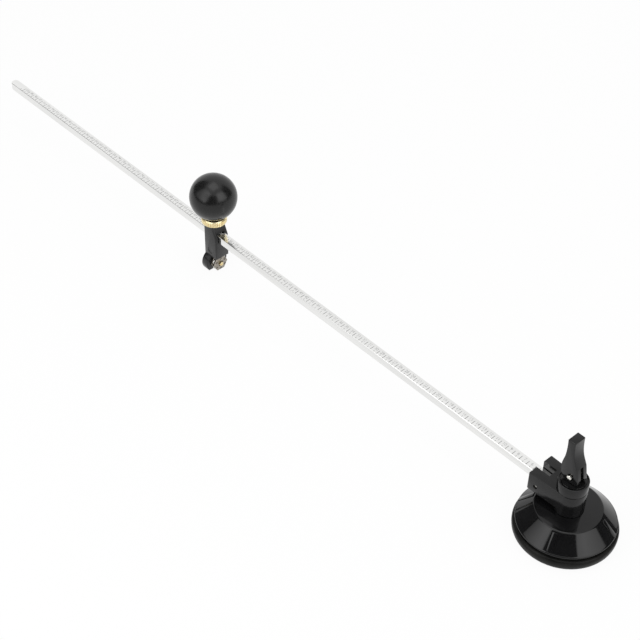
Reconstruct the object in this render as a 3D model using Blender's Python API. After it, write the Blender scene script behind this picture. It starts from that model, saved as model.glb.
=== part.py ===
"""Circle cutter for glass: a suction cup with a cam lever, a swivelling arm that carries a scale bar,
and a cutting head with six small wheels that is clamped on the bar.

Lengths are in metres. Z is up, and the glass is the plane z = 0. The origin is where the axis of the
suction cup meets the glass, and the bar runs along -X from the cup to its free end.
"""

import math

import bmesh
import bpy
from mathutils import Matrix

# Fits between pieces, how far a cutter passes the faces that it cuts, and how near points are joined
GAP = 0.0003
OVERRUN = 0.002
MERGE = 0.000002

# Where the middle point of a two-step rounding lies, measured from its corner
ROUNDING_SHARE = 0.29

# Suction cup of rubber
CUP_RADIUS = 0.029
CUP_HEIGHT = 0.0091
LIP_WIDTH = 0.0033
LIP_INSET = 0.0023
LIP_HEIGHT = 0.0025
BULGE_ROUND = 0.0004
BULGE_HEIGHT = 0.0052
DOME_HEIGHT = 0.0018
DOME_RADIUS = 0.008
SHOULDER_INSET = 0.0014
SHOULDER_WIDTH = 0.0030
WEB_THICKNESS = 0.0036
CUP_BOSS_RADIUS = 0.009
CUP_BOSS_LIP = 0.0015
POCKET_FLOOR = 0.0025

# Stem that pulls the cup up
FOOT_RADIUS = 0.0065
FOOT_THICKNESS = 0.0021
STEM_RADIUS = 0.003
STEM_CHAMFER = 0.0002
TONGUE_THICKNESS = 0.0017
TONGUE_WIDTH = 0.0056

# Housing over the cup
RIM_RADIUS = 0.02775
RIM_HEIGHT = 0.001
RIM_ROUND = 0.0003
HOUSING_HEIGHT = 0.0103
HOUSING_WALL = 0.002
PLATEAU_RADIUS = 0.0187
PLATEAU_ROUND = 0.0004
NECK_RADIUS = 0.0062
RIB_COUNT = 4
RIB_TURN = math.radians(20)
RIB_WIDTH = 0.0028
RIB_HEIGHT = 0.0006

# Collar that holds the arm down on the housing
COLLAR_RADIUS = 0.0085
COLLAR_HEIGHT = 0.0062
COLLAR_CROWN = 0.0017
COLLAR_ROUND = 0.0006

# Arm that swivels on the housing's neck
ARM_WIDTH = 0.0182
ARM_REACH = 0.0223
ARM_HEIGHT = 0.015
ARM_UNDERCUT = 0.0029
ARM_ROUND = 0.0005
ARM_EDGE = 0.0004
SLOT_LENGTH = 0.0091

# Scale bar
BAR_LENGTH = 0.5
BAR_WIDTH = 0.0056
BAR_THICKNESS = 0.0052
BAR_EDGE = 0.00025
BAR_SINK = 0.005
BAR_START_GAP = 0.0014
BAR_PIN_RADIUS = 0.001
BAR_PIN_INSET = 0.0009
BAR_PIN_SETBACK = 0.0052

# Cam lever: the cam's reach from its pin grows from the drop to the side reach over a quarter turn
PIN_RADIUS = 0.0016
PIN_PROUD = 0.0008
PIN_CHAMFER = 0.0003
PIN_RISE = 0.0047
CAM_SIDE = 0.0068
CAM_HEEL = 0.0052
LEVER_WIDTH = 0.0078
LEVER_EDGE = 0.0003
LEVER_LENGTH = 0.0243
LEVER_TIP = 0.005
LEVER_TIP_OFFSET = 0.0029
LEVER_SHOULDER = 0.0066
LEVER_SHOULDER_REACH = 0.0035
FORK_DEPTH = 0.0068
# Shares of the way from the cam's side to the tip, and of the way across, on the front flank
FRONT_FLANK_SHARES = ((0.0, 0.0), (0.2, 0.02), (0.47, 0.9), (0.74, 1.15), (1.0, 1.0))
# The same on the back flank, from the shoulder to the tip
BACK_FLANK_SHARES = ((0.0, 0.0), (0.3, 0.62), (0.52, 0.88), (0.76, 0.98), (1.0, 1.0))

# Cutting head
HEAD_DISTANCE = 0.2933
HEAD_WIDTH = 0.0103
HEAD_BACK = 0.0039
HEAD_TOP_REACH = 0.004
HEAD_FRONT = 0.007
HEAD_CROWN = 0.007
HEAD_SLOPE_TOP = 0.0023
HEAD_SLOPE_DROP = 0.0087
HEAD_EDGE = 0.0004
WINDOW_RISE = 0.0008
HOOD_RADIUS = 0.0081
HOOD_DEPTH = 0.0053
HOOD_GROUND_GAP = 0.0004
DIMPLE_RADIUS = 0.0021
DIMPLE_DEPTH = 0.0004
DIMPLE_HEIGHT = 0.0166

# Clamp: a stud under the ball presses a pad on the bar, and the knurled nut locks it
PAD_THICKNESS = 0.0014
PAD_CHAMFER = 0.0002
STUD_RADIUS = 0.0025
STUD_GRIP = 0.009
NUT_RADIUS = 0.0081
NUT_HEIGHT = 0.0042
NUT_CHAMFER = 0.0004
NUT_RIDGES = 44
KNURL_DEPTH = 0.00025
BALL_RADIUS = 0.015
BALL_FLAT_RADIUS = 0.0047
BALL_NUT_GAP = 0.0004

# Turret with six wheels; the lowest wheel stands on the glass
WHEEL_COUNT = 6
WHEEL_RADIUS = 0.0016
WHEEL_THICKNESS = 0.0009
WHEEL_HUB_THICKNESS = 0.00035
WHEEL_PITCH_RADIUS = 0.0038
WHEEL_TOP_GAP = 0.0008
AXLE_RADIUS = 0.00045
FLANGE_RADIUS = 0.005
FLANGE_THICKNESS = 0.00095
TURRET_SCREW_RADIUS = 0.0009
TURRET_SCREW_GRIP = 0.0032
SCREW_HEAD_RADIUS = 0.0017
SCREW_HEAD_HEIGHT = 0.0011
SCREW_SLOT_WIDTH = 0.0006
SCREW_SLOT_DEPTH = 0.0005

# Steps around a full turn
FINE_STEPS = 56
STEPS = 32
SMALL_STEPS = 20
TINY_STEPS = 12

# Heights above the glass, from the sizes above
rim_z = CUP_HEIGHT + GAP
plateau_z = rim_z + HOUSING_HEIGHT
arm_bottom_z = plateau_z + GAP
arm_top_z = arm_bottom_z + ARM_HEIGHT
collar_z = arm_top_z + GAP
collar_top_z = collar_z + COLLAR_HEIGHT
neck_top_z = collar_top_z - COLLAR_CROWN - GAP
pin_z = collar_top_z + PIN_RISE
bar_top_z = arm_top_z - BAR_SINK
bar_z = bar_top_z - BAR_THICKNESS
turret_z = WHEEL_PITCH_RADIUS + WHEEL_RADIUS
head_bottom_z = 2 * turret_z + WHEEL_TOP_GAP
head_top_z = bar_top_z + HEAD_CROWN
pad_z = bar_top_z + GAP
pad_top_z = pad_z + PAD_THICKNESS
nut_z = head_top_z + GAP
ball_bottom_z = nut_z + NUT_HEIGHT + BALL_NUT_GAP

# Radii and places that follow
stem_hole_radius = STEM_RADIUS + GAP
cam_drop = PIN_RISE - GAP
cam_rise = CAM_SIDE - cam_drop
slot_end = ARM_REACH - SLOT_LENGTH
bar_start = slot_end + BAR_START_GAP
bar_pin_reach = ARM_REACH - BAR_PIN_SETBACK
foot_z = DOME_HEIGHT + POCKET_FLOOR + GAP
ball_centre_z = ball_bottom_z + math.sqrt(BALL_RADIUS**2 - BALL_FLAT_RADIUS**2)
turret_width = 2 * FLANGE_THICKNESS + WHEEL_THICKNESS + 2 * GAP
hood_front = HOOD_DEPTH - HEAD_BACK

materials = {}


def clear_scene():
    for obj in list(bpy.data.objects):
        bpy.data.objects.remove(obj, do_unlink=True)


def material(name, colour, roughness, metallic=0.0):
    """A plain surface: its colour, roughness and metallic value."""
    if name not in materials:
        made = bpy.data.materials.new(name)
        made.use_nodes = True
        surface = made.node_tree.nodes["Principled BSDF"]
        surface.inputs["Base Color"].default_value = (*colour, 1.0)
        surface.inputs["Roughness"].default_value = roughness
        surface.inputs["Metallic"].default_value = metallic
        materials[name] = made
    return materials[name]


def black_gloss():
    return material("black_gloss_plastic", (0.012, 0.012, 0.013), 0.12)


def black_satin():
    return material("black_satin_plastic", (0.02, 0.02, 0.021), 0.38)


def black_ball():
    return material("black_ball_plastic", (0.012, 0.012, 0.012), 0.3)


def black_rubber():
    return material("black_rubber", (0.03, 0.03, 0.031), 0.7)


def black_cast():
    return material("black_painted_metal", (0.022, 0.022, 0.023), 0.45)


def bright_steel():
    return material("bright_steel", (0.78, 0.78, 0.77), 0.2, 1.0)


def turret_steel():
    return material("oiled_steel", (0.5, 0.47, 0.42), 0.35, 1.0)


def brass():
    return material("brass", (0.83, 0.62, 0.28), 0.25, 1.0)


def empty(name, location, parent=None):
    """A frame for pieces that move together, with its origin on their joint's axis."""
    made = bpy.data.objects.new(name, None)
    bpy.context.collection.objects.link(made)
    made.parent = parent
    made.location = location
    return made


def piece(name, mesh, surface, parent=None, location=(0, 0, 0), smooth=True):
    """A solid of the object from a finished bmesh."""
    data = bpy.data.meshes.new(name)
    bmesh.ops.recalc_face_normals(mesh, faces=mesh.faces)
    mesh.to_mesh(data)
    mesh.free()
    if smooth:
        data.shade_smooth()
        data.set_sharp_from_angle(angle=math.radians(32))
    made = bpy.data.objects.new(name, data)
    bpy.context.collection.objects.link(made)
    made.data.materials.append(surface)
    made.parent = parent
    made.location = location
    return made


def helper(name, mesh, parent=None, location=(0, 0, 0)):
    """A shape that only cuts or adds to another."""
    made = piece(name, mesh, black_satin(), parent, location, smooth=False)
    made.hide_render = True
    made.display_type = "WIRE"
    return made


def combine(obj, other, operation):
    step = obj.modifiers.new(operation.lower() + "_" + other.name, "BOOLEAN")
    step.operation = operation
    step.solver = "EXACT"
    step.object = other


def cut(obj, other):
    combine(obj, other, "DIFFERENCE")


def add(obj, other):
    combine(obj, other, "UNION")


def turned(profile, steps):
    """A shape turned about Z from points (radius, z): closed on itself, or with both ends on the axis."""
    mesh = bmesh.new()
    points = [mesh.verts.new((radius, 0, z)) for radius, z in profile]
    edges = [mesh.edges.new(pair) for pair in zip(points, points[1:])]
    if profile[0][0] > 0:
        edges.append(mesh.edges.new((points[-1], points[0])))
    bmesh.ops.spin(
        mesh, geom=points + edges, cent=(0, 0, 0), axis=(0, 0, 1),
        angle=2 * math.pi, steps=steps, use_merge=True,
    )
    bmesh.ops.remove_doubles(mesh, verts=mesh.verts, dist=MERGE)
    return mesh


def rod(radius, low, high, steps, chamfer=0.0):
    """A round bar on Z, with chamfered ends where asked."""
    if chamfer:
        profile = [
            (0, low), (radius - chamfer, low), (radius, low + chamfer),
            (radius, high - chamfer), (radius - chamfer, high), (0, high),
        ]
    else:
        profile = [(0, low), (radius, low), (radius, high), (0, high)]
    return turned(profile, steps)


def prism(outline, low, high):
    """A shape of one outline (x, y), from z low to z high."""
    mesh = bmesh.new()
    face = mesh.faces.new([mesh.verts.new((x, y, low)) for x, y in outline])
    top = bmesh.ops.extrude_face_region(mesh, geom=[face])["geom"]
    moved = [item for item in top if isinstance(item, bmesh.types.BMVert)]
    bmesh.ops.translate(mesh, verts=moved, vec=(0, 0, high - low))
    return mesh


def box(low, high):
    """A block between two corners."""
    outline = [(low[0], low[1]), (high[0], low[1]), (high[0], high[1]), (low[0], high[1])]
    return prism(outline, low[2], high[2])


def on_side(mesh):
    """Turns a shape drawn in (x, z) and extruded along its own Z, so that it runs along Y instead."""
    bmesh.ops.rotate(mesh, verts=mesh.verts, matrix=Matrix.Rotation(math.pi / 2, 3, "X"))
    return mesh


def along_x(mesh):
    """Turns a shape on the Z axis so that it lies on the X axis."""
    bmesh.ops.rotate(mesh, verts=mesh.verts, matrix=Matrix.Rotation(math.pi / 2, 3, "Y"))
    return mesh


def joined(meshes):
    """Several loose shapes in one bmesh, for a helper that cuts or adds them all."""
    whole = bmesh.new()
    for mesh in meshes:
        data = bpy.data.meshes.new("loose")
        bmesh.ops.recalc_face_normals(mesh, faces=mesh.faces)
        mesh.to_mesh(data)
        mesh.free()
        whole.from_mesh(data)
        bpy.data.meshes.remove(data)
    return whole


def arc(centre, radius, start, end, steps):
    """Points on an arc, angles in degrees."""
    turns = [math.radians(start + (end - start) * i / steps) for i in range(steps + 1)]
    return [(centre[0] + radius * math.cos(t), centre[1] + radius * math.sin(t)) for t in turns]


def soften(obj, width, angle=40, segments=1):
    """A small bevel along the edges that turn by more than an angle in degrees."""
    step = obj.modifiers.new("soft_edges", "BEVEL")
    step.width = width
    step.segments = segments
    step.limit_method = "ANGLE"
    step.angle_limit = math.radians(angle)


def smooth_curve(points, steps):
    """A curve through the points, with the given steps between each two."""
    ends = [points[0]] + list(points) + [points[-1]]
    curve = []
    for before, start, end, after in zip(ends, ends[1:], ends[2:], ends[3:]):
        for i in range(steps):
            t = i / steps
            weights = (
                (-t + 2 * t**2 - t**3) / 2, (2 - 5 * t**2 + 3 * t**3) / 2,
                (t + 4 * t**2 - 3 * t**3) / 2, (t**3 - t**2) / 2,
            )
            around = (before, start, end, after)
            curve.append(tuple(sum(w * p[k] for w, p in zip(weights, around)) for k in (0, 1)))
    return curve + [tuple(points[-1])]


def make_rubber_cup():
    """Hollow below, with a pocket on top that grips the stem's foot."""
    lip_radius = CUP_RADIUS - LIP_INSET
    shoulder_radius = CUP_RADIUS - SHOULDER_INSET
    pocket_z = DOME_HEIGHT + POCKET_FLOOR
    boss_z = foot_z + FOOT_THICKNESS + GAP
    profile = [
        (0, DOME_HEIGHT), (DOME_RADIUS, DOME_HEIGHT),
        (lip_radius - LIP_WIDTH, 0), (lip_radius, 0),
        (CUP_RADIUS - BULGE_ROUND, LIP_HEIGHT), (CUP_RADIUS, BULGE_HEIGHT),
        (CUP_RADIUS - SHOULDER_INSET * ROUNDING_SHARE, (BULGE_HEIGHT + CUP_HEIGHT) / 2),
        (shoulder_radius, CUP_HEIGHT),
        (shoulder_radius - SHOULDER_WIDTH, CUP_HEIGHT),
        (shoulder_radius - 2 * SHOULDER_WIDTH, DOME_HEIGHT + WEB_THICKNESS),
        (CUP_BOSS_RADIUS, DOME_HEIGHT + WEB_THICKNESS), (CUP_BOSS_RADIUS, boss_z + CUP_BOSS_LIP),
        (stem_hole_radius, boss_z + CUP_BOSS_LIP), (stem_hole_radius, boss_z),
        (FOOT_RADIUS + GAP, boss_z), (FOOT_RADIUS + GAP, pocket_z), (0, pocket_z),
    ]
    piece("rubber_cup", turned(profile, FINE_STEPS), black_rubber())


def make_cup_stem(stem):
    """Foot, rod and the flat tongue that the lever's fork straddles, drawn from the lever's pin."""
    foot = foot_z - pin_z
    rod_top = collar_top_z - cam_rise - GAP - pin_z
    profile = [
        (0, foot), (FOOT_RADIUS, foot), (FOOT_RADIUS, foot + FOOT_THICKNESS),
        (STEM_RADIUS, foot + FOOT_THICKNESS), (STEM_RADIUS, rod_top - STEM_CHAMFER),
        (STEM_RADIUS - STEM_CHAMFER, rod_top), (0, rod_top),
    ]
    body = piece("cup_stem", turned(profile, STEPS), bright_steel(), stem)
    half = TONGUE_WIDTH / 2
    outline = arc((0, 0), half, 0, 180, SMALL_STEPS // 2)
    outline += [(-half, rod_top - OVERRUN), (half, rod_top - OVERRUN)]
    tongue = on_side(prism(outline, -TONGUE_THICKNESS / 2, TONGUE_THICKNESS / 2))
    add(body, helper("tongue_shape", tongue, stem))
    reach = TONGUE_THICKNESS / 2 + OVERRUN
    hole = on_side(rod(PIN_RADIUS + GAP, -reach, reach, SMALL_STEPS))
    cut(body, helper("tongue_hole", hole, stem))


def rib_shapes():
    """Four low ribs that run down the cone, rooted in its wall."""
    top = (PLATEAU_RADIUS + PLATEAU_ROUND, plateau_z - PLATEAU_ROUND)
    foot = (RIM_RADIUS - RIM_ROUND, rim_z + RIM_HEIGHT)
    slope = math.atan2(top[1] - foot[1], foot[0] - top[0])
    away = (math.sin(slope), math.cos(slope))
    down = (math.cos(slope), -math.sin(slope))
    root = HOUSING_WALL / 2
    start = (top[0] + RIB_HEIGHT * down[0], top[1] + RIB_HEIGHT * down[1])
    outline = [
        (start[0] - root * away[0], start[1] - root * away[1]),
        (foot[0] - root * away[0], foot[1] - root * away[1]),
        (foot[0] + RIB_HEIGHT / 2 * away[0], foot[1] + RIB_HEIGHT / 2 * away[1]),
        (start[0] + RIB_HEIGHT * away[0], start[1] + RIB_HEIGHT * away[1]),
    ]
    shapes = []
    for i in range(RIB_COUNT):
        rib = on_side(prism(outline, -RIB_WIDTH / 2, RIB_WIDTH / 2))
        turn = Matrix.Rotation(RIB_TURN + 2 * math.pi * i / RIB_COUNT, 3, "Z")
        bmesh.ops.rotate(rib, verts=rib.verts, matrix=turn)
        shapes.append(rib)
    return joined(shapes)


def make_cup_housing():
    """A conical shell with a rounded rim, a flat plateau and the neck that the arm turns on."""
    inner_plateau = plateau_z - HOUSING_WALL
    profile = [
        (NECK_RADIUS, neck_top_z), (NECK_RADIUS, plateau_z),
        (PLATEAU_RADIUS - PLATEAU_ROUND, plateau_z),
        (PLATEAU_RADIUS + PLATEAU_ROUND, plateau_z - PLATEAU_ROUND),
        (RIM_RADIUS - RIM_ROUND, rim_z + RIM_HEIGHT),
        (RIM_RADIUS, rim_z + RIM_HEIGHT - RIM_ROUND), (RIM_RADIUS, rim_z + RIM_ROUND),
        (RIM_RADIUS - RIM_ROUND, rim_z), (RIM_RADIUS - HOUSING_WALL, rim_z),
        (PLATEAU_RADIUS - HOUSING_WALL / 2, inner_plateau),
        (stem_hole_radius, inner_plateau), (stem_hole_radius, neck_top_z),
    ]
    housing = piece("cup_housing", turned(profile, FINE_STEPS), black_gloss())
    add(housing, helper("rib_shapes", rib_shapes()))


def make_retaining_collar():
    """A cap on the neck's end; the lever's cam bears on its flat top."""
    profile = [
        (COLLAR_RADIUS, collar_z), (COLLAR_RADIUS, collar_top_z - COLLAR_ROUND),
        (COLLAR_RADIUS - COLLAR_ROUND * ROUNDING_SHARE, collar_top_z - COLLAR_ROUND * ROUNDING_SHARE),
        (COLLAR_RADIUS - COLLAR_ROUND, collar_top_z), (stem_hole_radius, collar_top_z),
        (stem_hole_radius, collar_top_z - COLLAR_CROWN), (NECK_RADIUS + GAP, collar_top_z - COLLAR_CROWN),
        (NECK_RADIUS + GAP, collar_z),
    ]
    piece("retaining_collar", turned(profile, FINE_STEPS), black_satin())


def make_swivel_arm(arm):
    """A round hub, as wide as the collar, with a block beside it, split into two prongs around the bar."""
    half = ARM_WIDTH / 2
    outline = arc((0, 0), COLLAR_RADIUS, -90, 90, STEPS // 2)
    outline += arc((-ARM_REACH + ARM_ROUND, half - ARM_ROUND), ARM_ROUND, 90, 180, 3)
    outline += arc((-ARM_REACH + ARM_ROUND, -half + ARM_ROUND), ARM_ROUND, 180, 270, 3)
    block = prism(outline, arm_bottom_z + ARM_UNDERCUT, arm_top_z)
    body = piece("swivel_arm", block, black_satin(), arm)
    soften(body, ARM_EDGE, 60)
    hub = rod(COLLAR_RADIUS, arm_bottom_z, arm_bottom_z + ARM_UNDERCUT + OVERRUN, STEPS)
    add(body, helper("hub_shape", hub, arm))
    bore = rod(NECK_RADIUS + GAP, arm_bottom_z - OVERRUN, arm_top_z + OVERRUN, STEPS)
    cut(body, helper("hub_bore", bore, arm))
    side = BAR_WIDTH / 2 + GAP
    slot = box((-ARM_REACH - OVERRUN, -side, bar_z - GAP), (-slot_end, side, arm_top_z + OVERRUN))
    cut(body, helper("bar_slot", slot, arm))
    hole = on_side(rod(BAR_PIN_RADIUS + GAP, -half - OVERRUN, half + OVERRUN, SMALL_STEPS))
    cut(body, helper("arm_pin_hole", hole, arm, (-bar_pin_reach, 0, bar_z + BAR_THICKNESS / 2)))


def make_scale_bar(arm):
    """A square bar with a round free end, pinned between the arm's prongs."""
    half = BAR_WIDTH / 2
    end = -bar_start - BAR_LENGTH
    outline = [(-bar_start, -half), (-bar_start, half)]
    outline += arc((end + half, 0), half, 90, 270, SMALL_STEPS // 2)
    body = piece("scale_bar", prism(outline, bar_z, bar_top_z), bright_steel(), arm)
    soften(body, BAR_EDGE, 60)
    hole = on_side(rod(BAR_PIN_RADIUS + GAP, -half - OVERRUN, half + OVERRUN, SMALL_STEPS))
    cut(body, helper("bar_pin_hole", hole, arm, (-bar_pin_reach, 0, bar_z + BAR_THICKNESS / 2)))
    reach = ARM_WIDTH / 2 - BAR_PIN_INSET
    pin = on_side(rod(BAR_PIN_RADIUS, -reach, reach, SMALL_STEPS, PIN_CHAMFER))
    piece("bar_pin", pin, bright_steel(), arm, (-bar_pin_reach, 0, bar_z + BAR_THICKNESS / 2))


def flank(start, end, shares):
    """A curve between two points, from shares of the way up and of the way across."""
    points = [
        (start[0] + across * (end[0] - start[0]), start[1] + up * (end[1] - start[1]))
        for up, across in shares
    ]
    return smooth_curve(points, 3)


def cam_lever_outline():
    """The lever from the side, about its pin. The cam's working edge rises evenly with the turn."""
    rate = cam_rise / (math.pi / 2)
    working_edge = []
    for i in range(STEPS // 4 + 1):
        turn = math.pi / 2 * i / (STEPS // 4)
        reach = cam_drop + rate * turn
        x = -reach * math.sin(turn) - rate * math.cos(turn)
        z = -reach * math.cos(turn) + rate * math.sin(turn)
        working_edge.append((x, z))
    front = flank(working_edge[-1], (-LEVER_TIP_OFFSET - LEVER_TIP / 2, LEVER_LENGTH), FRONT_FLANK_SHARES)
    shoulder = (LEVER_SHOULDER_REACH, LEVER_SHOULDER)
    back = flank(shoulder, (-LEVER_TIP_OFFSET + LEVER_TIP / 2, LEVER_LENGTH), BACK_FLANK_SHARES)
    heel_radius = cam_drop / 2
    heel = arc((CAM_HEEL - heel_radius, -cam_drop + heel_radius), heel_radius, 0, -90, SMALL_STEPS // 4)
    return working_edge + front[1:] + back[::-1] + heel


def make_cam_lever(lever):
    """A forked lever on the stem's tongue. Folding it over the bar draws the cup up."""
    outline = cam_lever_outline()
    body = piece("cam_lever", on_side(prism(outline, -LEVER_WIDTH / 2, LEVER_WIDTH / 2)), black_satin(), lever)
    soften(body, LEVER_EDGE, 60)
    side = TONGUE_THICKNESS / 2 + GAP
    reach = CAM_SIDE + OVERRUN
    slot = box((-reach, -side, -cam_drop - OVERRUN), (reach, side, FORK_DEPTH))
    cut(body, helper("fork_slot", slot, lever))
    half = LEVER_WIDTH / 2
    hole = on_side(rod(PIN_RADIUS + GAP, -half - OVERRUN, half + OVERRUN, SMALL_STEPS))
    cut(body, helper("lever_hole", hole, lever))
    reach = half + PIN_PROUD
    pin = on_side(rod(PIN_RADIUS, -reach, reach, SMALL_STEPS, PIN_CHAMFER))
    piece("lever_pin", pin, bright_steel(), lever)


def window_outline(side, low, high, rise):
    """A slot (y, z) with an arched top: the arch stands over the sides by the rise."""
    radius = (side**2 + rise**2) / (2 * rise)
    spread = math.degrees(math.asin(side / radius))
    crown = arc((0, high - radius), radius, 90 - spread, 90 + spread, SMALL_STEPS // 3)
    return [(-side, low), (side, low)] + crown


def across_x(outline, low, high):
    """A shape of one outline (y, z), from x low to x high."""
    mesh = prism(outline, low, high)
    order = Matrix(((0, 0, 1), (1, 0, 0), (0, 1, 0)))
    bmesh.ops.transform(mesh, matrix=order.to_4x4(), verts=mesh.verts)
    return mesh


def hood_outline():
    """A round hood over the turret, cut level above the glass."""
    low = HOOD_GROUND_GAP - turret_z
    dip = math.degrees(math.asin(low / HOOD_RADIUS))
    points = arc((0, 0), HOOD_RADIUS, dip, 180 - dip, STEPS // 2)
    return [(y, z + turret_z) for y, z in points]


def make_head_body(head):
    """A block with a window for the bar and a sloped top, over a round hood that carries the turret."""
    slope_top = head_top_z - HEAD_SLOPE_TOP
    side_view = [
        (-HEAD_BACK, head_bottom_z), (HEAD_FRONT, head_bottom_z),
        (HEAD_FRONT, head_top_z - HEAD_SLOPE_DROP), (HEAD_TOP_REACH, slope_top),
        (HEAD_TOP_REACH, head_top_z), (-HEAD_BACK, head_top_z),
    ]
    half = HEAD_WIDTH / 2
    body = piece("head_body", on_side(prism(side_view, -half, half)), black_cast(), head)
    soften(body, HEAD_EDGE, 50)
    add(body, helper("hood_shape", across_x(hood_outline(), -HEAD_BACK, hood_front), head))
    window = window_outline(BAR_WIDTH / 2 + GAP, bar_z - GAP, bar_top_z + GAP + WINDOW_RISE, WINDOW_RISE)
    cut(body, helper("bar_window", across_x(window, -HEAD_BACK - OVERRUN, HEAD_FRONT + OVERRUN), head))
    bore = rod(STUD_RADIUS + GAP, bar_top_z, head_top_z + OVERRUN, STEPS)
    cut(body, helper("stud_bore", bore, head))
    screw_hole = along_x(rod(
        TURRET_SCREW_RADIUS + GAP, hood_front - TURRET_SCREW_GRIP - GAP, hood_front + OVERRUN, SMALL_STEPS
    ))
    cut(body, helper("turret_screw_hole", screw_hole, head, (0, 0, turret_z)))
    dimple = on_side(rod(DIMPLE_RADIUS, half - DIMPLE_DEPTH, half + OVERRUN, SMALL_STEPS))
    middle = (HEAD_FRONT - HEAD_BACK) / 2
    cut(body, helper("side_dimple", dimple, head, (middle, 0, DIMPLE_HEIGHT)))


def make_clamp(pad, knob, nut):
    """The pad on the bar, the stud with its ball, and the knurled nut that locks them."""
    piece("pressure_pad", rod(STUD_RADIUS, pad_z, pad_top_z, STEPS, PAD_CHAMFER), brass(), pad)
    stud_top = ball_bottom_z + STUD_GRIP
    stud = rod(STUD_RADIUS, pad_top_z + GAP, stud_top, STEPS, PIN_CHAMFER)
    piece("clamp_stud", stud, bright_steel(), knob)
    flat = math.degrees(math.asin(BALL_FLAT_RADIUS / BALL_RADIUS))
    surface = arc((0, ball_centre_z), BALL_RADIUS, -90 + flat, 90, SMALL_STEPS)
    bore_top = stud_top + GAP
    ball = [(STUD_RADIUS + GAP, ball_bottom_z)] + surface[:-1] + [(0, ball_centre_z + BALL_RADIUS)]
    ball = [(0, bore_top), (STUD_RADIUS + GAP, bore_top)] + ball
    piece("ball_knob", turned(ball, FINE_STEPS), black_ball(), knob)
    make_lock_nut(nut)


def make_lock_nut(nut):
    """A low round nut with upright ridges and chamfered ends."""
    outline = []
    for i in range(NUT_RIDGES):
        for share, depth in ((0.0, 0.0), (0.5, KNURL_DEPTH)):
            turn = 2 * math.pi * (i + share) / NUT_RIDGES
            radius = NUT_RADIUS - depth
            outline.append((radius * math.cos(turn), radius * math.sin(turn)))
    body = piece("lock_nut", prism(outline, nut_z, nut_z + NUT_HEIGHT), brass(), nut, smooth=False)
    envelope = rod(NUT_RADIUS + GAP, nut_z, nut_z + NUT_HEIGHT, FINE_STEPS, NUT_CHAMFER + GAP)
    combine(body, helper("nut_envelope", envelope, nut), "INTERSECT")
    bore = rod(STUD_RADIUS + GAP, nut_z - OVERRUN, nut_z + NUT_HEIGHT + OVERRUN, STEPS)
    cut(body, helper("nut_bore", bore, nut))


def wheel_places():
    """Angle and centre (y, z) of each wheel about the turret's axis, the first at the bottom."""
    for i in range(WHEEL_COUNT):
        turn = -math.pi / 2 + 2 * math.pi * i / WHEEL_COUNT
        yield i + 1, WHEEL_PITCH_RADIUS * math.cos(turn), WHEEL_PITCH_RADIUS * math.sin(turn)


def make_turret(head, turret):
    """Two flanges on a hub, with the wheels and their axles between them."""
    half = turret_width / 2
    groove = WHEEL_THICKNESS / 2 + GAP
    hub_radius = WHEEL_PITCH_RADIUS - WHEEL_RADIUS - GAP
    bore_radius = TURRET_SCREW_RADIUS + GAP
    profile = [
        (bore_radius, -half), (FLANGE_RADIUS, -half), (FLANGE_RADIUS, -groove), (hub_radius, -groove),
        (hub_radius, groove), (FLANGE_RADIUS, groove), (FLANGE_RADIUS, half), (bore_radius, half),
    ]
    body = piece("wheel_turret", along_x(turned(profile, STEPS)), turret_steel(), turret)
    holes = []
    for _, y, z in wheel_places():
        hole = along_x(rod(AXLE_RADIUS + GAP, -half - OVERRUN, half + OVERRUN, TINY_STEPS))
        bmesh.ops.translate(hole, verts=hole.verts, vec=(0, y, z))
        holes.append(hole)
    cut(body, helper("axle_holes", joined(holes), turret))
    make_turret_screw(head, half)


def make_turret_screw(head, half):
    """A slotted screw that the turret turns on."""
    centre = hood_front + GAP + half
    shank_end = hood_front - TURRET_SCREW_GRIP
    under_head = centre + half + GAP
    top = under_head + SCREW_HEAD_HEIGHT
    profile = [
        (0, shank_end), (TURRET_SCREW_RADIUS, shank_end), (TURRET_SCREW_RADIUS, under_head),
        (SCREW_HEAD_RADIUS, under_head), (SCREW_HEAD_RADIUS, top - PIN_CHAMFER),
        (SCREW_HEAD_RADIUS - PIN_CHAMFER, top), (0, top),
    ]
    place = (0, 0, turret_z)
    screw = piece("turret_screw", along_x(turned(profile, SMALL_STEPS)), brass(), head, place)
    reach = SCREW_HEAD_RADIUS + OVERRUN
    slot = box(
        (top - SCREW_SLOT_DEPTH, -reach, -SCREW_SLOT_WIDTH / 2), (top + OVERRUN, reach, SCREW_SLOT_WIDTH / 2)
    )
    cut(screw, helper("screw_slot", slot, head, place))


def make_wheels(turret):
    """Six cutting wheels with a sharp rim, each on its own axle."""
    half = WHEEL_THICKNESS / 2
    bore = AXLE_RADIUS + GAP
    crest = WHEEL_RADIUS - half + WHEEL_HUB_THICKNESS
    profile = [
        (bore, -half), (crest, -half), (WHEEL_RADIUS, 0), (crest, half), (bore, half),
    ]
    axle_reach = turret_width / 2
    for number, y, z in wheel_places():
        spindle = empty(f"wheel_{number}_axis", (0, y, z), turret)
        wheel = along_x(turned(profile, SMALL_STEPS))
        piece(f"cutting_wheel_{number}", wheel, bright_steel(), spindle)
        axle = along_x(rod(AXLE_RADIUS, -axle_reach, axle_reach, TINY_STEPS))
        piece(f"wheel_axle_{number}", axle, turret_steel(), turret, (0, y, z))


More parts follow.
